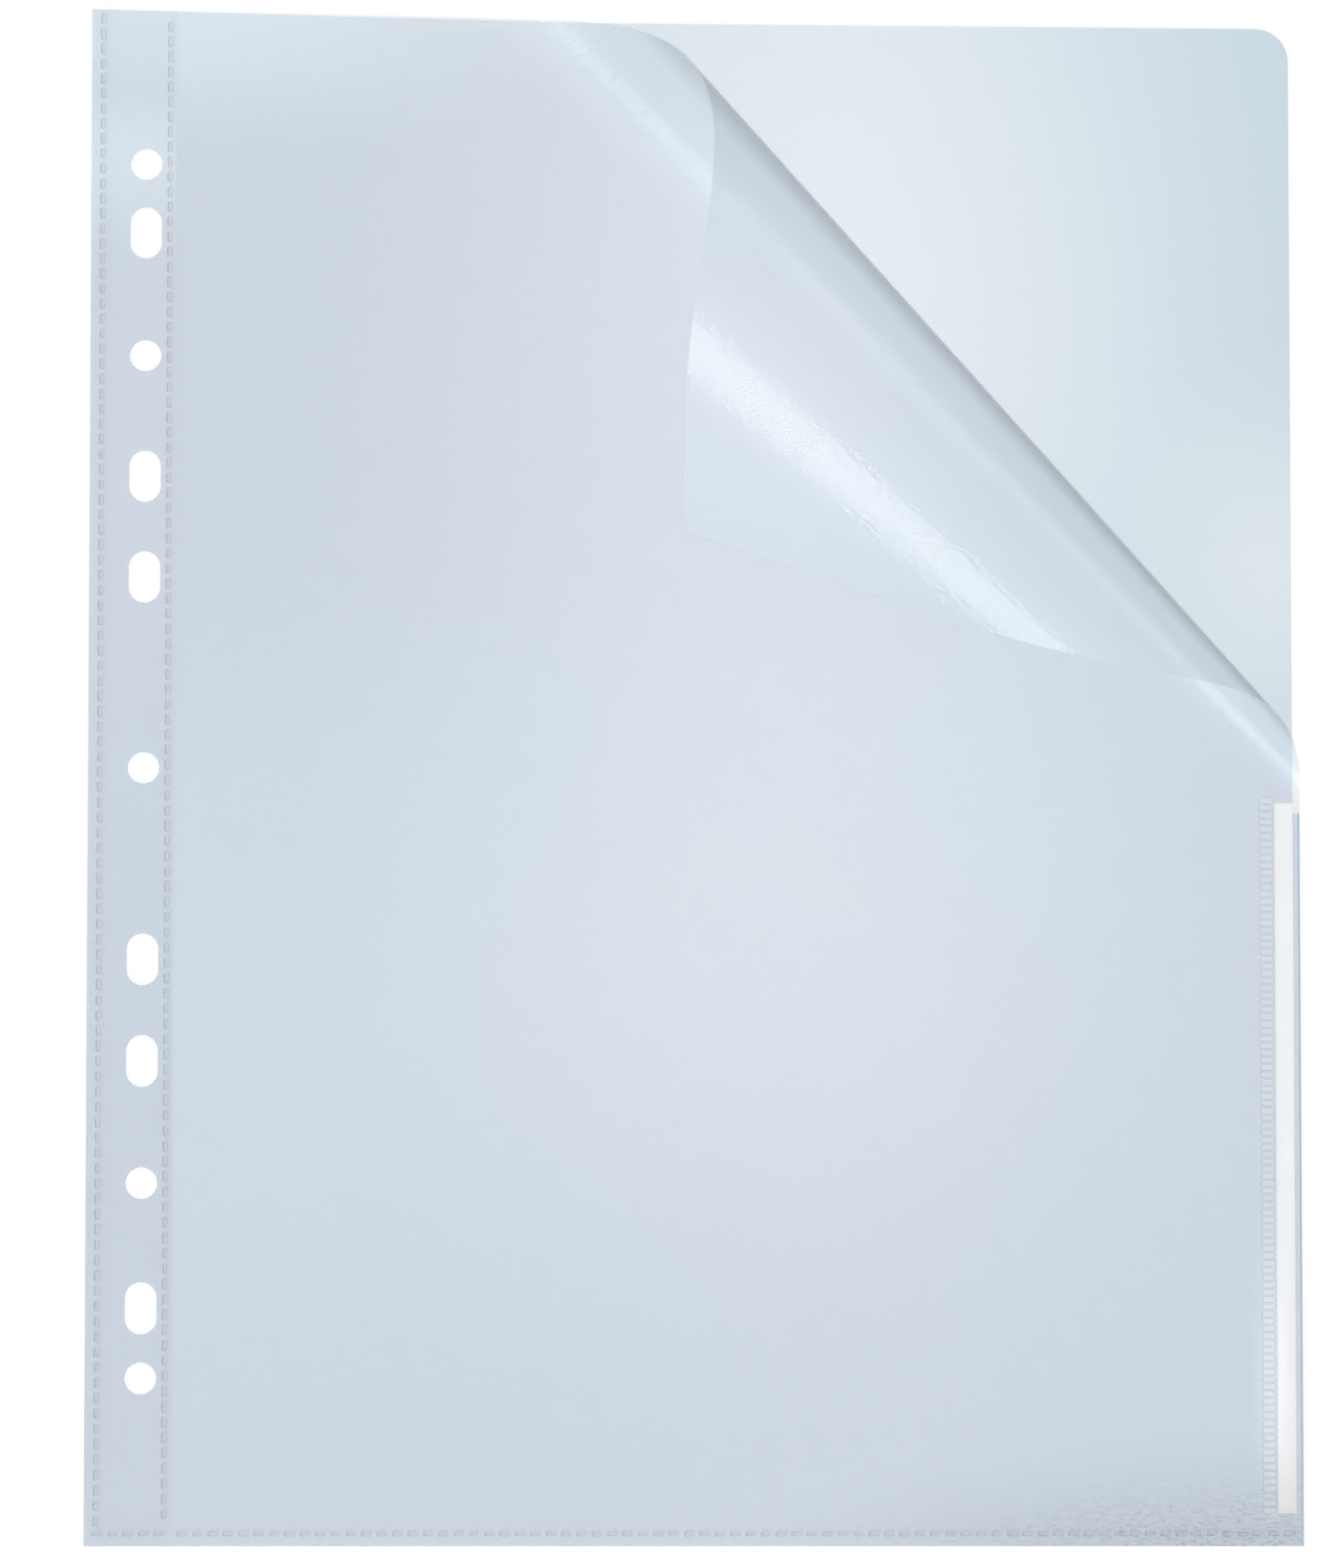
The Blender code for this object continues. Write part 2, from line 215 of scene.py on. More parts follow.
def film_surface_group():
    """Shared look of the film: fine embossing drawn out sideways and a slow drift between two tints.

    It carries painted light and shade: a painted falloff to an unlit tint away from one lit place, a shading
    tint of painted light and shade about two places, and dark specks of painted shade.
    """
    group = bpy.data.node_groups.new("embossed_film_with_painted_light", "ShaderNodeTree")
    for name, kind in (("Grain Size", "NodeSocketVector"), ("Drift Size", "NodeSocketVector"),
                       ("Cool Tint", "NodeSocketColor"), ("Warm Tint", "NodeSocketColor"),
                       ("Lit Place", "NodeSocketVector"), ("Lit Reach", "NodeSocketVector"),
                       ("Unlit Tint", "NodeSocketColor"), ("Sheen Place", "NodeSocketVector"),
                       ("Sheen Reach", "NodeSocketVector"), ("Second Shading Place", "NodeSocketVector"),
                       ("Second Shading Reach", "NodeSocketVector"), ("Sheen Tint", "NodeSocketColor"),
                       ("Shade Fleck Place", "NodeSocketVector"), ("Shade Fleck Reach", "NodeSocketVector"),
                       ("Shade Fleck Depth", "NodeSocketFloat"), ("Gloss", "NodeSocketFloat")):
        group.interface.new_socket(name, in_out="INPUT", socket_type=kind)
    for name, kind in (("Tint", "NodeSocketColor"), ("Roughness", "NodeSocketFloat"),
                       ("Height", "NodeSocketFloat")):
        group.interface.new_socket(name, in_out="OUTPUT", socket_type=kind)
    nodes = group.nodes
    link = group.links.new
    given = nodes.new("NodeGroupInput")
    result = nodes.new("NodeGroupOutput")
    where = nodes.new("ShaderNodeTexCoord").outputs["Object"]

    def vectors(operation, first, second):
        node = nodes.new("ShaderNodeVectorMath")
        node.operation = operation
        link(first, node.inputs[0])
        if second:
            link(second, node.inputs[1])
        return node.outputs["Value" if operation == "LENGTH" else "Vector"]

    def noise(size_name):
        cloud = nodes.new("ShaderNodeTexNoise")
        cloud.inputs["Scale"].default_value = 1.0
        cloud.inputs["Detail"].default_value = 0.0
        link(vectors("DIVIDE", where, given.outputs[size_name]), cloud.inputs["Vector"])
        return cloud.outputs["Fac"]

    def ramp(value, start, end, smooth=False, low=0.0):
        node = nodes.new("ShaderNodeMapRange")
        node.interpolation_type = "SMOOTHSTEP" if smooth else "LINEAR"
        node.inputs["From Min"].default_value = start
        node.inputs["From Max"].default_value = end
        node.inputs["To Min"].default_value = low
        link(value, node.inputs["Value"])
        return node.outputs["Result"]

    def away(place_name, reach_name):
        offset = vectors("SUBTRACT", where, given.outputs[place_name])
        return vectors("LENGTH", vectors("DIVIDE", offset, given.outputs[reach_name]), None)

    def maths(operation, first, second, third=None):
        node = nodes.new("ShaderNodeMath")
        node.operation = operation
        for socket, value in zip(node.inputs, (first, second, third)):
            if isinstance(value, float):
                socket.default_value = value
            elif value:
                link(value, socket)
        return node.outputs[0]

    tint = nodes.new("ShaderNodeMix")
    tint.data_type = "RGBA"
    link(ramp(noise("Drift Size"), DRIFT_LOW, DRIFT_HIGH), tint.inputs["Factor"])
    link(given.outputs["Cool Tint"], tint.inputs["A"])
    link(given.outputs["Warm Tint"], tint.inputs["B"])
    grain = noise("Grain Size")
    # Painted shade: away from the lit place the tint falls off to the unlit tint.
    falloff_shaded = nodes.new("ShaderNodeMix")
    falloff_shaded.data_type = "RGBA"
    link(ramp(away("Lit Place", "Lit Reach"), 0.0, 1.0, smooth=True), falloff_shaded.inputs["Factor"])
    link(tint.outputs["Result"], falloff_shaded.inputs["A"])
    link(given.outputs["Unlit Tint"], falloff_shaded.inputs["B"])
    # Painted light and shade: near two places the tint turns to the shading tint.
    patch_shaded = nodes.new("ShaderNodeMix")
    patch_shaded.data_type = "RGBA"
    shading_patch = ramp(away("Sheen Place", "Sheen Reach"), 1.0, 0.0, smooth=True)
    glow = ramp(away("Second Shading Place", "Second Shading Reach"), 1.0, 0.0, smooth=True)
    link(maths("MAXIMUM", shading_patch, glow), patch_shaded.inputs["Factor"])
    link(falloff_shaded.outputs["Result"], patch_shaded.inputs["A"])
    link(given.outputs["Sheen Tint"], patch_shaded.inputs["B"])
    # Painted shade: dark specks in the grain near one place, the front's lower right corner.
    near_shade_flecks = ramp(away("Shade Fleck Place", "Shade Fleck Reach"), 1.0, 0.0, smooth=True)
    shade_fleck = maths("MULTIPLY", ramp(grain, SHADE_FLECK_START, SHADE_FLECK_FULL, low=SHADE_FLECK_GROUND), near_shade_flecks)
    loss = maths("MULTIPLY", shade_fleck, given.outputs["Shade Fleck Depth"])
    shaded = nodes.new("ShaderNodeMix")
    shaded.data_type = "RGBA"
    shaded.blend_type = "MULTIPLY"
    shaded.inputs["Factor"].default_value = 1.0
    link(patch_shaded.outputs["Result"], shaded.inputs["A"])
    link(maths("SUBTRACT", 1.0, loss), shaded.inputs["B"])
    link(shaded.outputs["Result"], result.inputs["Tint"])
    link(grain, result.inputs["Height"])
    link(maths("MULTIPLY_ADD", grain, GLOSS_GRAIN, given.outputs["Gloss"]), result.inputs["Roughness"])
    return group


DRIFT_LOW = 0.35
DRIFT_HIGH = 0.65
# Grain levels of the painted shade specks.
SHADE_FLECK_START = 0.56
SHADE_FLECK_FULL = 0.67
SHADE_FLECK_GROUND = 0.4
GLOSS_GRAIN = 0.06
embossed_film_with_painted_light = film_surface_group()


def film_finish(name, tints, places, gloss, shine, alpha, grain_depth, shade_fleck_depth=0.0):
    """Clear film with its cool and warm tints, its painted light and shade (a falloff to an unlit tint, a
    shading tint in patches and dark specks), its embossing and its shine.
    """
    made = bpy.data.materials.new(name)
    made.use_nodes = True
    nodes = made.node_tree.nodes
    link = made.node_tree.links.new
    shader = nodes["Principled BSDF"]
    look = nodes.new("ShaderNodeGroup")
    look.node_tree = embossed_film_with_painted_light
    for socket, value in (("Grain Size", GRAIN_SIZE), ("Drift Size", DRIFT_SIZE),
                          ("Shade Fleck Place", SHADE_FLECK_PLACE), ("Shade Fleck Reach", SHADE_FLECK_REACH),
                          ("Shade Fleck Depth", shade_fleck_depth), ("Gloss", gloss)):
        look.inputs[socket].default_value = value
    for socket, tint in zip(("Cool Tint", "Warm Tint", "Unlit Tint", "Sheen Tint"), tints):
        look.inputs[socket].default_value = (*tint, 1.0)
    for patch, (place, reach) in zip(("Lit", "Sheen", "Second Shading"), places):
        look.inputs[f"{patch} Place"].default_value = place
        look.inputs[f"{patch} Reach"].default_value = reach
    relief = nodes.new("ShaderNodeBump")
    relief.inputs["Strength"].default_value = 1.0
    relief.inputs["Distance"].default_value = grain_depth
    link(look.outputs["Height"], relief.inputs["Height"])
    link(look.outputs["Tint"], shader.inputs["Base Color"])
    link(look.outputs["Roughness"], shader.inputs["Roughness"])
    link(relief.outputs["Normal"], shader.inputs["Normal"])
    shader.inputs["Metallic"].default_value = 0.0
    shader.inputs["IOR"].default_value = FILM_IOR
    shader.inputs["Specular IOR Level"].default_value = shine
    shader.inputs["Alpha"].default_value = alpha
    return made


def darken_edge_on(finish):
    """Painted shade: the base colour of rolled film darkens where it turns edge-on, for the light that a
    film loses when crossed at a slant.
    """
    nodes = finish.node_tree.nodes
    link = finish.node_tree.links.new
    colour = nodes["Principled BSDF"].inputs["Base Color"]
    slant = nodes.new("ShaderNodeLayerWeight")
    slant.inputs["Blend"].default_value = EVEN_BLEND
    edge_on = nodes.new("ShaderNodeMapRange")
    edge_on.inputs["From Min"].default_value = SLANT_START
    edge_on.inputs["From Max"].default_value = SLANT_FULL
    link(slant.outputs["Facing"], edge_on.inputs["Value"])
    darkened = nodes.new("ShaderNodeMix")
    darkened.data_type = "RGBA"
    darkened.inputs["B"].default_value = (*EDGE_ON_SHADE, 1.0)
    link(edge_on.outputs["Result"], darkened.inputs["Factor"])
    link(colour.links[0].from_socket, darkened.inputs["A"])
    link(darkened.outputs["Result"], colour)


# Each film's tints: cool and warm, then the unlit tint of its painted light falloff and the shading tint of
# its patches of painted light and shade.
FRONT_TINTS_AND_SHADES = ((0.588, 0.677, 0.721), (0.626, 0.667, 0.730), (0.566, 0.607, 0.682), (0.710, 0.775, 0.825))
ROLL_TINTS_AND_SHADES = ((0.580, 0.660, 0.725), (0.605, 0.650, 0.730), (0.530, 0.612, 0.685), (0.470, 0.555, 0.635))
BACK_TINTS_AND_SHADES = ((0.600, 0.735, 0.815), (0.640, 0.720, 0.823), (0.225, 0.415, 0.550), (0.460, 0.600, 0.685))
# Lit place and reach of each film's painted light falloff.
FRONT_LIGHT_FALLOFF = ((-0.057, -0.042, 0.0), (0.288, 0.103, 1.0))
# A painted highlight along the front's top left.
FRONT_PAINTED_HIGHLIGHT = ((-0.098, 0.152, 0.0), (0.090, 0.034, 1.0))
# A painted reflection in a strip beside the label's ladder weld.
LADDER_PAINTED_REFLECTION = ((0.1128, -0.118, 0.0), (0.0045, 0.042, 1.0))
FRONT_PLACES = (FRONT_LIGHT_FALLOFF, FRONT_PAINTED_HIGHLIGHT, LADDER_PAINTED_REFLECTION)
ROLL_LIGHT_FALLOFF = ((0.007, 0.060, 0.0), (0.062, 0.062, 1.0))
# Painted shade that dims the bright band at the upper end of the roll's outer face.
ROLL_PAINTED_SHADE = ((-0.012, 0.136, 0.0), (0.034, 0.034, 1.0))
ROLL_PLACES = (ROLL_LIGHT_FALLOFF, ROLL_PAINTED_SHADE, ROLL_PAINTED_SHADE)
BACK_LIGHT_FALLOFF = ((0.024, 0.070, 0.0), (0.115, 0.254, 1.0))
# Painted shading on the back's right side, between its lit and unlit tints.
BACK_LOW_RIGHT_SHADING = ((0.112, 0.040, 0.0), (0.040, 0.050, 1.0))
BACK_PLACES = (BACK_LIGHT_FALLOFF, BACK_LOW_RIGHT_SHADING, BACK_LOW_RIGHT_SHADING)
# Place, reach and depth of the painted shade specks at the front's lower right corner.
SHADE_FLECK_PLACE = (0.112, -0.160, 0.0)
SHADE_FLECK_REACH = (0.115, 0.034, 1.0)
SHADE_FLECK_DEPTH = 0.80
FILM_ALPHA = 0.30
FILM_IOR = 1.49
FILM_GRAIN = 0.00009
GRAIN_SIZE = (0.0012, 0.0004, 0.0008)
DRIFT_SIZE = (0.11, 0.11, 0.11)
# How the painted edge-on shade sets in with the slant, and its tint.
SLANT_START = 0.40
SLANT_FULL = 0.88
EVEN_BLEND = 0.5
EDGE_ON_SHADE = (0.02, 0.09, 0.15)
OUTER_GLOSS = 0.23
INNER_GLOSS = 0.08
FILM_SHINE = 0.56


def two_faces(name, tints, places, shade_fleck_depth=0.0):
    """Finishes of the duller outer face and the glossy inner face of a film."""
    return [film_finish(f"{name}_{face}", tints, places, gloss, FILM_SHINE, FILM_ALPHA, FILM_GRAIN,
                        shade_fleck_depth)
            for face, gloss in (("outer", OUTER_GLOSS), ("inner", INNER_GLOSS))]


front_outer, front_inner = two_faces("front", FRONT_TINTS_AND_SHADES, FRONT_PLACES, SHADE_FLECK_DEPTH)
roll_outer, roll_inner = two_faces("roll", ROLL_TINTS_AND_SHADES, ROLL_PLACES)
darken_edge_on(roll_outer)
darken_edge_on(roll_inner)
back_outer, back_inner = two_faces("back", BACK_TINTS_AND_SHADES, BACK_PLACES)


def on_back(point, side):
    """The back lies flat and turns over along the side fold."""
    past = point.x - FOLD_START
    if past <= 0:
        return (point.x, point.y, BACK_MIDDLE + side * FILM / 2)
    angle = past / FOLD_RADIUS - math.pi / 2
    reach = FOLD_RADIUS - side * FILM / 2
    return (FOLD_START + reach * math.cos(angle), point.y, STACK / 2 + reach * math.sin(angle))


back_free = [Vector((BACK_CORNER.x, FOLD_TOP)), BACK_CORNER, BACK_KNEE]
corner_arc = rounded(*back_free, BACK_CORNER_RADIUS, CORNER_STEPS)
back_left = [Vector((CREASE_JOIN, TOP + (BACK_KNEE.y - TOP) * (CREASE_JOIN - LEFT) / (BACK_KNEE.x - LEFT))),
             Vector((CREASE_JOIN, BOTTOM))]
fold_line = walk(Vector((FOLD_START, BOTTOM)), Vector((FOLD_START, FOLD_TOP)), EDGE_STEP)
fold_line.append(Vector((FOLD_START, FOLD_TOP)))
back_outline = walk(back_left[1], fold_line[0], EDGE_STEP) + fold_line
back_outline += walk(back_free[0], corner_arc[0], EDGE_STEP) + corner_arc[:-1]
back_outline += walk(corner_arc[-1], BACK_KNEE, EDGE_STEP) + walk(BACK_KNEE, back_left[0], EDGE_STEP)
back_outline += walk(*back_left, EDGE_STEP)
back_points, back_faces = cut_film(back_outline, [], SHEET_GRID)
fold_first = len(back_points)
fold_rows = len(fold_line)
for turn in range(FOLD_TURNS + 1):
    bend = Vector((math.pi * FOLD_RADIUS * turn / FOLD_TURNS, 0))
    back_points += [point + bend for point in fold_line]
for turn in range(FOLD_TURNS):
    for row in range(fold_rows - 1):
        corner = fold_first + turn * fold_rows + row
        back_faces.append([corner, corner + fold_rows, corner + fold_rows + 1, corner + 1])
back_film = close_film("back_film", back_points, back_faces, on_back)
back_film.data.materials.append(back_inner)
back_film.data.materials.append(back_outer)
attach(back_film, "pocket")
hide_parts("back_sheet", "side_fold")


# The front film is the same sheet on top. It lies flat from the binding margin to the first ray of the roll,
# and its free corner is rolled back: the film curls about rays that fan out from one point, a cone's apex.
FREE_CORNER = Vector((RIGHT + 0.0017, TOP - 0.0080))
FREE_CORNER_RADIUS = 0.0025
FREE_EDGE_END = Vector((RIGHT, FOLD_TOP))
ROLL_ROWS = 20
ROLL_COLUMNS = 36
FOLDS = sum(name.startswith("flap_roll_") for name in joints)
fold_names = [f"flap_roll_{number:02d}" for number in range(1, FOLDS + 1)]
fold_axes = [-Vector(joints[name]["axis"]) for name in fold_names]
fold_places = [Vector(joints[name]["pos_m"]) for name in fold_names]
fold_turn = math.radians(-joints[fold_names[0]]["range_deg"][0])
apex = intersect_line_line(fold_places[0], fold_places[0] + fold_axes[0],
                           fold_places[-1], fold_places[-1] + fold_axes[-1])[0]
flat_apex = Vector((apex.x, apex.y))

# Undo the folds before each one to find its ray in the flat film, then share the film out around the rays
turned = [Quaternion()]
rays = []
for axis in fold_axes:
    flat_axis = turned[-1].inverted() @ axis
    rays.append(math.atan2(flat_axis.y, flat_axis.x))
    turned.append(Quaternion(axis, -fold_turn) @ turned[-1])
half_spreads = [(rays[0] - rays[1]) / 2]
for ray, following in zip(rays, rays[1:]):
    half_spreads.append(ray - following - half_spreads[-1])


def along(angle):
    """Direction of a ray in the flat film."""
    return Vector((math.cos(angle), math.sin(angle)))


def crossing(angle, point, way):
    """Distance from the apex at which a ray meets a straight edge."""
    return (point - flat_apex).cross(way) / along(angle).cross(way)


roll_first = rays[0] + half_spreads[0]
front_corner = Vector((LEFT, TOP - FRONT_TOP_FALL))
roll_start = flat_apex + along(roll_first) * crossing(roll_first, front_corner, Vector((1, 0)))
free_arc = rounded(FREE_EDGE_END, FREE_CORNER, roll_start, FREE_CORNER_RADIUS, CORNER_STEPS)
arc_centre = FREE_CORNER + ((FREE_EDGE_END - FREE_CORNER).normalized()
                            + (roll_start - FREE_CORNER).normalized()).normalized() * (
    FREE_CORNER_RADIUS / math.sin((FREE_EDGE_END - FREE_CORNER).angle(roll_start - FREE_CORNER) / 2))
to_arc = arc_centre - flat_apex
roll_last = math.atan2(to_arc.y, to_arc.x) - math.asin(FREE_CORNER_RADIUS / to_arc.length)
arc_near = math.atan2(*reversed(free_arc[0] - flat_apex))
arc_far = math.atan2(*reversed(free_arc[-1] - flat_apex))


def ray_ends(angle):
    """Near and far end of a ray in the flat film: the free edge, the top edge, or the rounded corner."""
    near = crossing(angle, FREE_EDGE_END, FREE_CORNER - FREE_EDGE_END)
    far = crossing(angle, roll_start, FREE_CORNER - roll_start)
    middle = to_arc.dot(along(angle))
    chord = math.sqrt(max(0.0, middle ** 2 - to_arc.length_squared + FREE_CORNER_RADIUS ** 2))
    if angle < arc_near:
        near = middle - chord
    if angle < arc_far:
        far = middle + chord
    return near, far


def ruled_film(angles):
    """A stretch of the flat film as a grid along its rays."""
    points = []
    for angle in angles:
        near, far = ray_ends(angle)
        points += [flat_apex + along(angle) * (near + (far - near) * column / ROLL_COLUMNS)
                   for column in range(ROLL_COLUMNS + 1)]
    faces = []
    width = ROLL_COLUMNS + 1
    for row in range(len(angles) - 1):
        for column in range(ROLL_COLUMNS):
            corner = row * width + column
            faces.append([corner, corner + width, corner + width + 1, corner + 1])
    return points, faces


def roll_tree():
    """Nodes that curl a flat film round the apex, from the pose of one strip to the pose of the next."""
    tree = bpy.data.node_groups.new("roll_film", "GeometryNodeTree")
    for name, kind in (("Film", "NodeSocketGeometry"), ("Apex", "NodeSocketVector"),
                       ("First Ray", "NodeSocketFloat"), ("Spread", "NodeSocketFloat"),
                       ("From", "NodeSocketRotation"), ("To", "NodeSocketRotation"),
                       ("Outer Finish", "NodeSocketMaterial"), ("Inner Finish", "NodeSocketMaterial"),
                       ("Seam Finish", "NodeSocketMaterial")):
        tree.interface.new_socket(name, in_out="INPUT", socket_type=kind)
    tree.interface.new_socket("Film", in_out="OUTPUT", socket_type="NodeSocketGeometry")
    nodes = tree.nodes
    link = tree.links.new
    given = nodes.new("NodeGroupInput")
    result = nodes.new("NodeGroupOutput")

    def maths(operation, *values, clamp=False):
        node = nodes.new("ShaderNodeMath")
        node.operation = operation
        node.use_clamp = clamp
        for socket, value in zip(node.inputs, values):
            if isinstance(value, float):
                socket.default_value = value
            else:
                link(value, socket)
        return node.outputs[0]

    def vectors(operation, *values):
        node = nodes.new("ShaderNodeVectorMath")
        node.operation = operation
        for socket, value in zip(node.inputs, values):
            link(value, socket)
        return node.outputs["Value" if operation == "LENGTH" else "Vector"]

    place = nodes.new("GeometryNodeInputPosition").outputs[0]
    from_apex = nodes.new("ShaderNodeSeparateXYZ")
    link(vectors("SUBTRACT", place, given.outputs["Apex"]), from_apex.inputs[0])
    flat = nodes.new("ShaderNodeCombineXYZ")
    link(from_apex.outputs["X"], flat.inputs["X"])
    link(from_apex.outputs["Y"], flat.inputs["Y"])
    distance = vectors("LENGTH", flat.outputs[0])
    angle = maths("ARCTAN2", from_apex.outputs["Y"], from_apex.outputs["X"])
    fanned = maths("WRAP", maths("SUBTRACT", given.outputs["First Ray"], angle), math.pi, -math.pi)
    share = maths("DIVIDE", fanned, given.outputs["Spread"], clamp=True)
    beyond = maths("SUBTRACT", maths("MULTIPLY", share, given.outputs["Spread"]), fanned)
    local = nodes.new("ShaderNodeCombineXYZ")
    link(maths("MULTIPLY", distance, maths("COSINE", beyond)), local.inputs["X"])
    link(maths("MULTIPLY", distance, maths("SINE", beyond)), local.inputs["Y"])
    link(from_apex.outputs["Z"], local.inputs["Z"])
    pose = nodes.new("ShaderNodeMix")
    pose.data_type = "ROTATION"
    link(share, pose.inputs["Factor"])
    link(given.outputs["From"], next(s for s in pose.inputs if s.identifier == "A_Rotation"))
    link(given.outputs["To"], next(s for s in pose.inputs if s.identifier == "B_Rotation"))
    swing = nodes.new("FunctionNodeRotateVector")
    link(local.outputs[0], swing.inputs["Vector"])
    link(next(s for s in pose.outputs if s.identifier == "Result_Rotation"), swing.inputs["Rotation"])
    move = nodes.new("GeometryNodeSetPosition")
    link(given.outputs["Film"], move.inputs["Geometry"])
    link(vectors("ADD", swing.outputs[0], given.outputs["Apex"]), move.inputs["Position"])
    side = nodes.new("GeometryNodeInputMaterialIndex").outputs[0]
    film = move.outputs[0]
    for index, name in enumerate(("Outer Finish", "Inner Finish", "Seam Finish")):
        finish = nodes.new("GeometryNodeSetMaterial")
        link(film, finish.inputs["Geometry"])
        link(maths("COMPARE", side, float(index), 0.5), finish.inputs["Selection"])
        link(given.outputs[name], finish.inputs["Material"])
        film = finish.outputs[0]
    link(film, result.inputs[0])
    return tree


def apply_nodes(piece, tree, values):
    """Run a node tree on a piece with the given inputs, and keep the result as its plain mesh."""
    modifier = piece.modifiers.new(tree.name, "NODES")
    modifier.node_group = tree
    for item in tree.interface.items_tree:
        if item.in_out == "INPUT" and item.name in values:
            modifier[item.identifier] = values[item.name]
    seen = piece.evaluated_get(bpy.context.evaluated_depsgraph_get())
    made = bpy.data.meshes.new_from_object(seen)
    piece.modifiers.remove(modifier)
    piece.data = made
    made.name = piece.name


def flat_front(point, side):
    """The front before it is rolled."""
    return (point.x, point.y, FRONT_MIDDLE + side * FILM / 2)


roll_film = roll_tree()
seam_film = bpy.data.materials.new("seam_film")
seam_film.use_nodes = True
seam_film.node_tree.nodes["Principled BSDF"].inputs["Alpha"].default_value = 0.0
next_ray = roll_first
for number in range(1, FOLDS + 1):
    spread = 2 * half_spreads[number - 1]
    angles = [next_ray - spread * row / ROLL_ROWS for row in range(ROLL_ROWS + 1)]
    first_pose = turned[number - 1] @ Quaternion((0, 0, 1), next_ray)
    last_pose = turned[number] @ Quaternion((0, 0, 1), next_ray - spread)
    if number == FOLDS:
        rest = angles[-1] - roll_last
        angles += [roll_last + rest * math.cos(math.pi / 2 * row / ROLL_ROWS)
                   for row in range(1, ROLL_ROWS + 1)]
    points, faces = ruled_film(angles)
    ray_points = ROLL_COLUMNS + 1
    ray_rows = [range(row * ray_points, (row + 1) * ray_points) for row in range(len(angles))]
    seams = ray_rows[:1] + ray_rows[-1:]
    name = f"roll_film_{number:02d}"
    stands_for = [f"flap_strip_{number:02d}"]
    if number == 1:
        name = "front_film"
        stands_for.append("front_sheet")
        first_row = points[:ray_points]
        front_outline = walk(Vector((CREASE_JOIN, BOTTOM)), Vector((FOLD_START, BOTTOM)), EDGE_STEP)
        front_outline += walk(Vector((FOLD_START, BOTTOM)), Vector((FOLD_START, FOLD_TOP)), EDGE_STEP)
        front_outline += [Vector((FOLD_START, FOLD_TOP))] + first_row
        front_outline += walk(first_row[-1], back_left[0], EDGE_STEP)[1:]
        front_outline += walk(*back_left, EDGE_STEP)
        flat_points, flat_faces = cut_film(front_outline, [], SHEET_GRID)
        first = len(flat_points)
        faces = flat_faces + [[corner + first for corner in face] for face in faces]
        points = flat_points + points
        seams = [[corner + first for corner in ray_rows[-1]]]
    if number == FOLDS:
        stands_for = ["flap_corner"]
        seams = ray_rows[:1]
    body = "flap_tip" if number == FOLDS else f"flap_{number:02d}"
    film = close_film(name, points, faces, flat_front, seams)
    outer, inner = (front_outer, front_inner) if number == 1 else (roll_outer, roll_inner)
    for finish in (outer, inner, seam_film):
        film.data.materials.append(finish)
    apply_nodes(film, roll_film, {
        "Apex": apex, "First Ray": next_ray, "Spread": spread, "From": first_pose.to_euler(),
        "To": last_pose.to_euler(), "Outer Finish": outer, "Inner Finish": inner,
        "Seam Finish": seam_film})
    across = -(first_pose.slerp(last_pose, 0.5) @ Vector((0, 1, 0)))
    middle = fold_places[number - 1]
    film.visible_shadow = False
    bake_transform(film)
    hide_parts(*stands_for)
    next_ray -= spread


# The binding margin is both films welded together and punched with round and long holes for ring binders.
# It folds up along the crease, where the film is scored, but its films here are built flat and ride on no
# body.
HOLE_DIAMETER = 0.0062
SLOT_LENGTH = 0.0102
HOLE_LINE = LEFT + 0.0109
HOLE_ROW_RAISE = 0.0008
ROUND_HOLES = (0.0, 0.0818, 0.1200)
SLOTTED_HOLES = (0.0378, 0.0578, 0.1063)
HOLE_STEPS = 24
MARGIN_GRID = 0.004
CREASE_COLUMNS = 8
CREASE_TO = CREASE - 0.00045
# The margin film's tints, its painted light falloff, the front's painted highlight and a band of painted
# light near its top.
MARGIN_TINTS_AND_SHADES = ((0.556, 0.611, 0.680), (0.576, 0.604, 0.684), (0.528, 0.565, 0.645), (0.680, 0.740, 0.795))
MARGIN_LIGHT_FALLOFF = ((-0.110, 0.060, 0.0), (1.0, 0.160, 1.0))
MARGIN_PAINTED_LIGHT = ((-0.110, 0.1228, 0.0), (1.0, 0.025, 1.0))
MARGIN_PLACES = (MARGIN_LIGHT_FALLOFF, FRONT_PAINTED_HIGHLIGHT, MARGIN_PAINTED_LIGHT)
margin_outer, margin_inner = two_faces("margin", MARGIN_TINTS_AND_SHADES, MARGIN_PLACES)


def punched_hole(row, length):
    """Outline of a hole with round ends."""
    radius = HOLE_DIAMETER / 2
    ends = []
    for sign, turn in ((1, 0.0), (-1, math.pi)):
        centre = Vector((HOLE_LINE, row + sign * (length - HOLE_DIAMETER) / 2))
        steps = range(HOLE_STEPS + 1) if length > HOLE_DIAMETER else range(HOLE_STEPS)
        for step in steps:
            angle = turn + math.pi * step / HOLE_STEPS
            ends.append(centre + radius * Vector((math.cos(angle), math.sin(angle))))
    return ends


margin_holes = []
for places, length in ((ROUND_HOLES, HOLE_DIAMETER), (SLOTTED_HOLES, SLOT_LENGTH)):
    for place in sorted({sign * place for place in places for sign in (1, -1)}):
        margin_holes.append(punched_hole(HOLE_ROW_RAISE + place, length))
margin_top = Vector((CREASE_TO, TOP + (BACK_KNEE.y - TOP) * (CREASE_TO - LEFT) / (BACK_KNEE.x - LEFT)))
margin_outline = walk(Vector((LEFT, BOTTOM)), Vector((CREASE_TO, BOTTOM)), EDGE_STEP)
margin_outline += walk(Vector((CREASE_TO, BOTTOM)), margin_top, MARGIN_GRID)
margin_outline += walk(margin_top, Vector((LEFT, TOP)), EDGE_STEP)
margin_outline += walk(Vector((LEFT, TOP)), Vector((LEFT, BOTTOM)), EDGE_STEP)
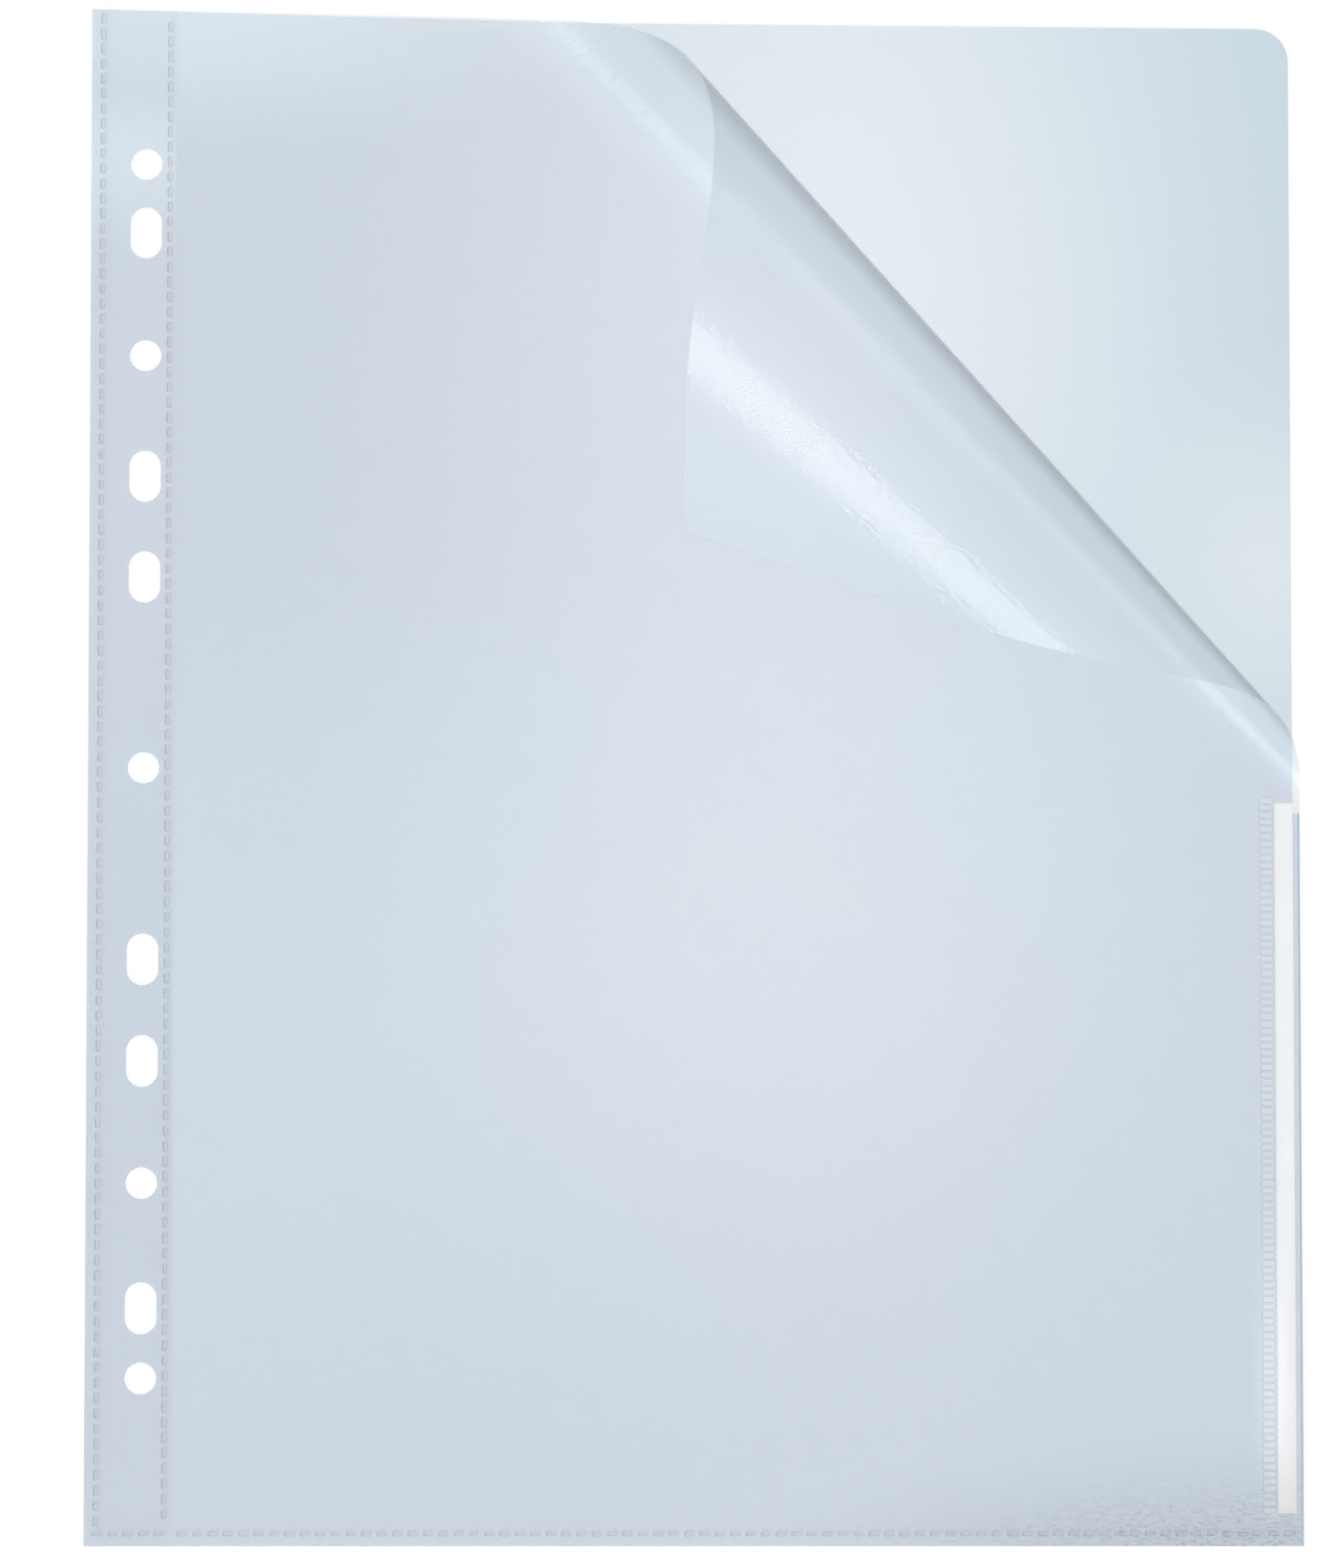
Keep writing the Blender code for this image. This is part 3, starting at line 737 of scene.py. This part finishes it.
margin_points, margin_faces = cut_film(margin_outline, margin_holes, MARGIN_GRID)
crease_rows = len(walk(Vector((CREASE_TO, BOTTOM)), margin_top, MARGIN_GRID))
first = len(margin_points)
for column in range(CREASE_COLUMNS + 1):
    x = CREASE_TO + (CREASE_JOIN - CREASE_TO) * column / CREASE_COLUMNS
    margin_points += [Vector((x, BOTTOM + (margin_top.y - BOTTOM) * row / crease_rows))
                      for row in range(crease_rows + 1)]
for column in range(CREASE_COLUMNS):
    for row in range(crease_rows):
        corner = first + column * (crease_rows + 1) + row
        margin_faces.append([corner, corner + crease_rows + 1, corner + crease_rows + 2, corner + 1])
for name, node, middle, finishes in (
        ("margin_front_film", "margin_front", FRONT_MIDDLE, (margin_outer, margin_inner)),
        ("margin_back_film", "margin_back", BACK_MIDDLE, (back_inner, back_outer))):
    film = close_film(name, margin_points, margin_faces,
                      lambda point, side: (point.x, point.y, middle + side * FILM / 2))
    for finish in finishes:
        film.data.materials.append(finish)
    film.visible_shadow = node == "margin_back"
    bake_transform(film)
    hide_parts(node)


# The welds are rows of small pads where a hot tool pressed the two films into one. Each pad is dished inside
# a rim of painted shade, widest on its left, where the dish wall turns away from the key softbox. The weld
# beside the label is a ladder of short bars.
DASH_PITCH = 0.0030
DASH_LENGTH = 0.0021
DASH_WIDTH = 0.0010
BAR_PITCH = 0.00142
BAR_LENGTH = 0.0027
BAR_WIDTH = 0.00105
PAD_CORNER = 0.34
PAD_STEPS = 4
PAD_PROUD = 0.00005
DISH_DEPTH = 0.00012
RIM_LEFT = 0.00026
RIM_REST = 0.00005
SMALLEST_PAD = 0.84
WELD_SHINE = 0.4
WELD_GRAIN = 0.00001
RIM_GLOSS = 0.22
BAR_GLOSS = 0.20
DISH_GLOSS = 0.18
RIM_ALPHA = 0.36
BAR_ALPHA = 0.22
DISH_ALPHA = 0.30
RUNG_ALPHA = 0.46
# The rims' tints are painted shade.
RIM_SHADE_TINTS = ((0.26, 0.32, 0.37), (0.30, 0.34, 0.39), (0.25, 0.30, 0.35), (0.25, 0.30, 0.35))
# The dishes and rungs take the front's painted falloff and shading in their last two tints.
DISH_TINTS_AND_SHADES = ((0.68, 0.74, 0.79), (0.70, 0.74, 0.80), (0.64, 0.69, 0.75), (0.72, 0.77, 0.82))
RUNG_TINTS_AND_SHADES = ((0.86, 0.90, 0.93), (0.88, 0.90, 0.93), (0.84, 0.88, 0.91), (0.90, 0.93, 0.95))
# The bar rims darken with painted shade away from the middle of the ladder and at its foot.
BAR_TINTS_AND_SHADES = ((0.70, 0.77, 0.82), (0.72, 0.77, 0.82), (0.42, 0.50, 0.57), (0.42, 0.50, 0.57))
BAR_LIGHT_FALLOFF = ((0.1123, -0.020, 0.0), (1.0, 0.125, 1.0))
BAR_FOOT_PAINTED_SHADE = ((0.1123, -0.160, 0.0), (1.0, 0.020, 1.0))
BAR_PLACES = (BAR_LIGHT_FALLOFF, BAR_FOOT_PAINTED_SHADE, BAR_FOOT_PAINTED_SHADE)


def weld_finish(name, tints, places, gloss, alpha):
    """Film that was melted flat: it keeps the tints but hardly any of the embossing."""
    return film_finish(name, tints, places, gloss, WELD_SHINE, alpha, WELD_GRAIN)


weld_shaded_rim = weld_finish("weld_shaded_rim", RIM_SHADE_TINTS, FRONT_PLACES, RIM_GLOSS, RIM_ALPHA)
weld_dish = weld_finish("weld_dish", DISH_TINTS_AND_SHADES, FRONT_PLACES, DISH_GLOSS, DISH_ALPHA)
rung_dish = weld_finish("rung_dish", RUNG_TINTS_AND_SHADES, FRONT_PLACES, DISH_GLOSS, RUNG_ALPHA)
bar_rim = weld_finish("bar_rim", BAR_TINTS_AND_SHADES, BAR_PLACES, BAR_GLOSS, BAR_ALPHA)


def weld_pad(name, length, width):
    """One pad about the origin: a rounded block with a dished top, its dish and base marked as "dish"."""
    pad = bmesh.new()
    dish_mark = pad.faces.layers.bool.new("dish")
    corner = PAD_CORNER * min(length, width)
    outline = []
    for turn, (sign_x, sign_y) in enumerate(((1, 1), (-1, 1), (-1, -1), (1, -1))):
        centre = Vector((sign_x * (width / 2 - corner), sign_y * (length / 2 - corner)))
        for step in range(PAD_STEPS + 1):
            angle = math.pi / 2 * (turn + step / PAD_STEPS)
            outline.append(centre + corner * Vector((math.cos(angle), math.sin(angle))))
    share_x = 1 - (RIM_LEFT + RIM_REST) / width
    share_y = 1 - 2 * RIM_REST / length
    shift = (RIM_LEFT - RIM_REST) / 2
    half = STACK / 2
    levels = ((1.0, 1.0, 0.0, -half), (1.0, 1.0, 0.0, half + PAD_PROUD),
              (share_x, share_y, shift, half + PAD_PROUD - DISH_DEPTH))
    loops = [[pad.verts.new((point.x * scale_x + move, point.y * scale_y, height)) for point in outline]
             for scale_x, scale_y, move, height in levels]
    for lower, upper in zip(loops, loops[1:]):
        for here, there in zip(range(len(outline)), [*range(1, len(outline)), 0]):
            pad.faces.new((lower[here], lower[there], upper[there], upper[here]))
    pad.faces.new(loops[-1])[dish_mark] = True
    pad.faces.new(reversed(loops[0]))[dish_mark] = True
    mesh = bpy.data.meshes.new(name)
    pad.to_mesh(mesh)
    pad.free()
    made = bpy.data.objects.new(name, mesh)
    bpy.context.scene.collection.objects.link(made)
    return made


def weld_row_tree():
    """Nodes that repeat a weld pad along a line, each pad pressed a little differently."""
    tree = bpy.data.node_groups.new("weld_row", "GeometryNodeTree")
    for name, kind in (("Pad", "NodeSocketGeometry"), ("Start", "NodeSocketVector"),
                       ("Step", "NodeSocketVector"), ("Count", "NodeSocketInt"),
                       ("Smallest", "NodeSocketFloat"), ("Seed", "NodeSocketInt"),
                       ("Rim Finish", "NodeSocketMaterial"), ("Dish Finish", "NodeSocketMaterial")):
        tree.interface.new_socket(name, in_out="INPUT", socket_type=kind)
    tree.interface.new_socket("Row", in_out="OUTPUT", socket_type="NodeSocketGeometry")
    nodes = tree.nodes
    link = tree.links.new
    given = nodes.new("NodeGroupInput")
    result = nodes.new("NodeGroupOutput")
    line = nodes.new("GeometryNodeMeshLine")
    line.mode = "OFFSET"
    link(given.outputs["Count"], line.inputs["Count"])
    link(given.outputs["Start"], line.inputs["Start Location"])
    link(given.outputs["Step"], line.inputs["Offset"])
    press = nodes.new("FunctionNodeRandomValue")
    press.data_type = "FLOAT_VECTOR"
    smallest = nodes.new("ShaderNodeCombineXYZ")
    link(given.outputs["Smallest"], smallest.inputs["X"])
    link(given.outputs["Smallest"], smallest.inputs["Y"])
    smallest.inputs["Z"].default_value = 1.0
    link(smallest.outputs[0], press.inputs["Min"])
    press.inputs["Max"].default_value = (1.0, 1.0, 1.0)
    link(given.outputs["Seed"], press.inputs["Seed"])
    row = nodes.new("GeometryNodeInstanceOnPoints")
    link(line.outputs[0], row.inputs["Points"])
    link(given.outputs["Pad"], row.inputs["Instance"])
    link(press.outputs["Value"], row.inputs["Scale"])
    real = nodes.new("GeometryNodeRealizeInstances")
    link(row.outputs[0], real.inputs[0])
    rim = nodes.new("GeometryNodeSetMaterial")
    link(real.outputs[0], rim.inputs["Geometry"])
    link(given.outputs["Rim Finish"], rim.inputs["Material"])
    marked = nodes.new("GeometryNodeInputNamedAttribute")
    marked.data_type = "BOOLEAN"
    marked.inputs["Name"].default_value = "dish"
    dish = nodes.new("GeometryNodeSetMaterial")
    link(rim.outputs[0], dish.inputs["Geometry"])
    link(marked.outputs["Attribute"], dish.inputs["Selection"])
    link(given.outputs["Dish Finish"], dish.inputs["Material"])
    link(dish.outputs[0], result.inputs[0])
    return tree


weld_row = weld_row_tree()
WELD_MIDDLE = STACK / 2
UPRIGHT_DASH = (DASH_LENGTH, DASH_WIDTH, DASH_PITCH, weld_shaded_rim, weld_dish)
LEVEL_DASH = (DASH_WIDTH, DASH_LENGTH, DASH_PITCH, weld_shaded_rim, weld_dish)
LADDER_BAR = (BAR_WIDTH, BAR_LENGTH, BAR_PITCH, bar_rim, rung_dish)
WELD_ROWS = (
    ("outer_weld_dashes", "outer_margin_weld", "margin", UPRIGHT_DASH, 1),
    ("inner_weld_dashes", "inner_margin_weld", "margin", UPRIGHT_DASH, 2),
    ("margin_foot_dashes", "margin_bottom_weld", "margin", LEVEL_DASH, 3),
    ("foot_dashes", "bottom_weld", "pocket", LEVEL_DASH, 4),
    ("label_ladder", "label_weld", "pocket", LADDER_BAR, 5),
)
for name, node, body, pad_kind, seed in WELD_ROWS:
    length, width, pitch, rim_finish, dish_finish = pad_kind
    low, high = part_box(node)
    size = high - low
    upright = size.y > size.x
    run = size.y if upright else size.x
    pad_run = length if upright else width
    count = int((run - pad_run) / pitch) + 1
    spare = (run - pad_run - (count - 1) * pitch) / 2 + pad_run / 2
    way = Vector((0, 1, 0)) if upright else Vector((1, 0, 0))
    centre = (low + high) / 2
    start = Vector((centre.x, low.y, WELD_MIDDLE)) if upright else Vector((low.x, centre.y, WELD_MIDDLE))
    pads = weld_pad(name, length, width)
    pads.data.materials.append(rim_finish)
    pads.data.materials.append(dish_finish)
    apply_nodes(pads, weld_row, {
        "Start": start + way * spare, "Step": way * pitch, "Count": count, "Smallest": SMALLEST_PAD,
        "Seed": seed, "Rim Finish": rim_finish, "Dish Finish": dish_finish})
    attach(pads, body)
    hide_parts(node)


# The label is a strip of white paper in the narrow channel between the ladder weld and the side fold. It
# slides out at the top of the channel.
PAPER_WHITE = (0.82, 0.80, 0.775)
PAPER_BEVEL = 0.00004
PAPER_BOW = 0.00003
PAPER_WAVES = 1.5
PAPER_STEPS = 48
PAPER_SHINE = 0.3
PAPER_ROUGHNESS = 0.85
# Painted light: the paper glows faintly though it is no lamp, so that it stays white behind the film.
PAPER_PAINTED_GLOW = 0.15
PAPER_PAINTED_GLOW_TINT = (1.0, 0.96, 0.90)
FIBRE_FINENESS = 1600.0
FIBRE_DRAWN_OUT = (1.0, 0.35, 1.0)
FIBRE_DETAIL = 3.0
FIBRE_SHADE = 0.95
FIBRE_DEPTH = 0.00001
paper = bpy.data.materials.new("label_paper")
paper.use_nodes = True
paper_nodes = paper.node_tree.nodes
paper_link = paper.node_tree.links.new
paper_shader = paper_nodes["Principled BSDF"]
paper_shader.inputs["Metallic"].default_value = 0.0
paper_shader.inputs["Specular IOR Level"].default_value = PAPER_SHINE
paper_shader.inputs["Roughness"].default_value = PAPER_ROUGHNESS
paper_shader.inputs["Emission Color"].default_value = (*PAPER_PAINTED_GLOW_TINT, 1.0)
paper_shader.inputs["Emission Strength"].default_value = PAPER_PAINTED_GLOW
fibre_place = paper_nodes.new("ShaderNodeTexCoord")
fibre_stretch = paper_nodes.new("ShaderNodeMapping")
fibre_stretch.inputs["Scale"].default_value = FIBRE_DRAWN_OUT
fibre = paper_nodes.new("ShaderNodeTexNoise")
fibre.inputs["Scale"].default_value = FIBRE_FINENESS
fibre.inputs["Detail"].default_value = FIBRE_DETAIL
fibre_tone = paper_nodes.new("ShaderNodeMix")
fibre_tone.data_type = "RGBA"
fibre_tone.inputs["A"].default_value = (*(tone * FIBRE_SHADE for tone in PAPER_WHITE), 1.0)
fibre_tone.inputs["B"].default_value = (*PAPER_WHITE, 1.0)
fibre_relief = paper_nodes.new("ShaderNodeBump")
fibre_relief.inputs["Distance"].default_value = FIBRE_DEPTH
paper_link(fibre_place.outputs["Object"], fibre_stretch.inputs["Vector"])
paper_link(fibre_stretch.outputs["Vector"], fibre.inputs["Vector"])
paper_link(fibre.outputs["Fac"], fibre_tone.inputs["Factor"])
paper_link(fibre_tone.outputs["Result"], paper_shader.inputs["Base Color"])
paper_link(fibre.outputs["Fac"], fibre_relief.inputs["Height"])
paper_link(fibre_relief.outputs["Normal"], paper_shader.inputs["Normal"])
label_low, label_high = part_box("label_strip")
label_mesh = bmesh.new()
label_loops = []
label_section = ((label_low.x, label_low.z + PAPER_BEVEL), (label_low.x + PAPER_BEVEL, label_low.z),
                 (label_high.x - PAPER_BEVEL, label_low.z), (label_high.x, label_low.z + PAPER_BEVEL),
                 (label_high.x, label_high.z - PAPER_BEVEL), (label_high.x - PAPER_BEVEL, label_high.z),
                 (label_low.x + PAPER_BEVEL, label_high.z), (label_low.x, label_high.z - PAPER_BEVEL))
for step in range(PAPER_STEPS + 1):
    y = label_low.y + (label_high.y - label_low.y) * step / PAPER_STEPS
    lift = PAPER_BOW * math.sin(math.tau * PAPER_WAVES * step / PAPER_STEPS)
    label_loops.append([label_mesh.verts.new((x, y, z + lift)) for x, z in label_section])
for near_ring, far_ring in zip(label_loops, label_loops[1:]):
    for here, there in zip(range(len(near_ring)), [*range(1, len(near_ring)), 0]):
        label_mesh.faces.new((near_ring[here], near_ring[there], far_ring[there], far_ring[here]))
label_mesh.faces.new(reversed(label_loops[-1]))
label_mesh.faces.new(label_loops[0])
bmesh.ops.recalc_face_normals(label_mesh, faces=label_mesh.faces)
label_data = bpy.data.meshes.new("label_card")
label_mesh.to_mesh(label_data)
label_mesh.free()
label_data.materials.append(paper)
label_card = bpy.data.objects.new("label_card", label_data)
bpy.context.scene.collection.objects.link(label_card)
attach(label_card, "label")
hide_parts("label_strip")


# The table is white and fills the view. It keeps a faint shadow under the pocket.
TABLE_HALF = 4.0
TABLE_DROP = 0.0004
TABLE_TONE = (0.95, 0.95, 0.95)
SHADOW_SHARE = 0.15
PLAIN_WHITE = (1.0, 1.0, 1.0, 1.0)


def seen_plainly(tree):
    """Mask of the rays that show a surface plainly: from the camera, off a gloss or through a film."""
    rays_from = tree.nodes.new("ShaderNodeLightPath")
    mask = rays_from.outputs["Is Camera Ray"]
    for kind in ("Is Glossy Ray", "Is Transmission Ray"):
        either = tree.nodes.new("ShaderNodeMath")
        either.operation = "MAXIMUM"
        tree.links.new(mask, either.inputs[0])
        tree.links.new(rays_from.outputs[kind], either.inputs[1])
        mask = either.outputs[0]
    return mask


table_mesh = bpy.data.meshes.new("table")
table_corners = [(x * TABLE_HALF, y * TABLE_HALF, -TABLE_DROP)
                 for x, y in ((-1, -1), (1, -1), (1, 1), (-1, 1))]
table_mesh.from_pydata(table_corners, [], [(0, 1, 2, 3)])
table = bpy.data.objects.new("table", table_mesh)
bpy.context.scene.collection.objects.link(table)
table_white = bpy.data.materials.new("table_white")
table_white.use_nodes = True
table_nodes = table_white.node_tree.nodes
table_link = table_white.node_tree.links.new
table_nodes.clear()
glow_share = table_nodes.new("ShaderNodeMath")
glow_share.operation = "MULTIPLY"
glow_share.inputs[1].default_value = 1.0 - SHADOW_SHARE
table_link(seen_plainly(table_white.node_tree), glow_share.inputs[0])
matt = table_nodes.new("ShaderNodeBsdfDiffuse")
matt.inputs["Color"].default_value = (*TABLE_TONE, 1.0)
glow = table_nodes.new("ShaderNodeEmission")
glow.inputs["Color"].default_value = PLAIN_WHITE
both = table_nodes.new("ShaderNodeMixShader")
table_out = table_nodes.new("ShaderNodeOutputMaterial")
table_link(glow_share.outputs[0], both.inputs["Fac"])
table_link(matt.outputs[0], both.inputs[1])
table_link(glow.outputs[0], both.inputs[2])
table_link(both.outputs[0], table_out.inputs["Surface"])
table_mesh.materials.append(table_white)


# Light: one long softbox leans across the left in front and makes every bright band on the roll. Another
# overhead only lights, and the room is an even white. The softboxes dim towards their edges.
def soft_edges(lamp, shares):
    """Let an area lamp fade over a share of its length and of its width at each end."""
    lamp.use_nodes = True
    nodes = lamp.node_tree.nodes
    link = lamp.node_tree.links.new
    place = nodes.new("ShaderNodeSeparateXYZ")
    link(nodes.new("ShaderNodeNewGeometry").outputs["Parametric"], place.inputs["Vector"])
    level = nodes.new("ShaderNodeMath")
    level.operation = "MULTIPLY"
    for axis, share, slot in zip("XY", shares, level.inputs):
        centred = nodes.new("ShaderNodeMath")
        centred.operation = "SUBTRACT"
        centred.inputs[1].default_value = 0.5
        link(place.outputs[axis], centred.inputs[0])
        outward = nodes.new("ShaderNodeMath")
        outward.operation = "ABSOLUTE"
        link(centred.outputs[0], outward.inputs[0])
        fade = nodes.new("ShaderNodeMapRange")
        fade.interpolation_type = "SMOOTHSTEP"
        fade.inputs["From Min"].default_value = 0.5
        fade.inputs["From Max"].default_value = 0.5 - share
        link(outward.outputs[0], fade.inputs["Value"])
        link(fade.outputs["Result"], slot)
    link(level.outputs[0], nodes["Emission"].inputs["Strength"])


SOFTBOX_DISTANCE = 6.0
SOFTBOXES = (
    ("key_softbox", -126.7, 31.7, 50.0, (6.25, 2.9), (0.09, 0.33), 373.0, (1.0, 0.96, 0.915), True),
    ("overhead_softbox", 60.0, 78.0, 0.0, (3.0, 3.0), (0.2, 0.2), 235.0, (1.0, 0.985, 0.96), False),
)
ROOM_LEVEL = 0.47
ROOM_TINT = (0.97, 0.985, 1.0)
for name, bearing, rise, lean, size, fades, power, colour, mirrored in SOFTBOXES:
    round_way = Matrix.Rotation(math.radians(bearing), 3, "Z")
    way = round_way @ Vector((math.cos(math.radians(rise)), 0.0, math.sin(math.radians(rise))))
    level_way = round_way @ Vector((0.0, -1.0, 0.0))
    steep_way = level_way.cross(way)
    long_way = level_way * math.cos(math.radians(lean)) + steep_way * math.sin(math.radians(lean))
    lamp = bpy.data.lights.new(name, "AREA")
    lamp.shape = "RECTANGLE"
    lamp.size, lamp.size_y = size
    lamp.energy = power
    lamp.color = colour
    soft_edges(lamp, fades)
    softbox = bpy.data.objects.new(name, lamp)
    softbox.location = way * SOFTBOX_DISTANCE
    softbox.rotation_euler = Matrix((long_way, way.cross(long_way), way)).transposed().to_euler()
    softbox.visible_camera = False
    softbox.visible_glossy = mirrored
    bpy.context.scene.collection.objects.link(softbox)
room = bpy.data.worlds.new("room")
room.use_nodes = True
room_nodes = room.node_tree.nodes
room_link = room.node_tree.links.new
room_nodes.clear()
room_light = room_nodes.new("ShaderNodeBackground")
room_light.inputs["Color"].default_value = (*ROOM_TINT, 1.0)
room_light.inputs["Strength"].default_value = ROOM_LEVEL
room_white = room_nodes.new("ShaderNodeBackground")
room_white.inputs["Color"].default_value = PLAIN_WHITE
room_both = room_nodes.new("ShaderNodeMixShader")
room_out = room_nodes.new("ShaderNodeOutputWorld")
room_link(seen_plainly(room.node_tree), room_both.inputs["Fac"])
room_link(room_light.outputs[0], room_both.inputs[1])
room_link(room_white.outputs[0], room_both.inputs[2])
room_link(room_both.outputs[0], room_out.inputs["Surface"])
bpy.context.scene.world = room


# Camera: a long lens almost straight above the pocket, a little towards its foot.
CAMERA_PLACE = Vector((0.0005, -0.2038, 1.9828))
CAMERA_AIM = Vector((-0.00435, -0.0025, 0.0009))
CAMERA_LENS = 232.72
CAMERA_SENSOR = 36.0
CAMERA_REACH = 50.0
FILM_FACES_IN_LINE = 48
camera_data = bpy.data.cameras.new("camera")
camera_data.lens = CAMERA_LENS
camera_data.sensor_width = CAMERA_SENSOR
camera_data.clip_end = CAMERA_REACH
camera = bpy.data.objects.new("camera", camera_data)
camera_back = (CAMERA_PLACE - CAMERA_AIM).normalized()
camera_right = Vector((0, 1, 0)).cross(camera_back).normalized()
camera_up = camera_back.cross(camera_right)
camera.location = CAMERA_PLACE
camera.rotation_euler = Matrix((camera_right, camera_up, camera_back)).transposed().to_euler()
bpy.context.scene.collection.objects.link(camera)
bpy.context.scene.camera = camera
bpy.context.scene.view_settings.view_transform = "Standard"
bpy.context.scene.cycles.transparent_max_bounces = FILM_FACES_IN_LINE
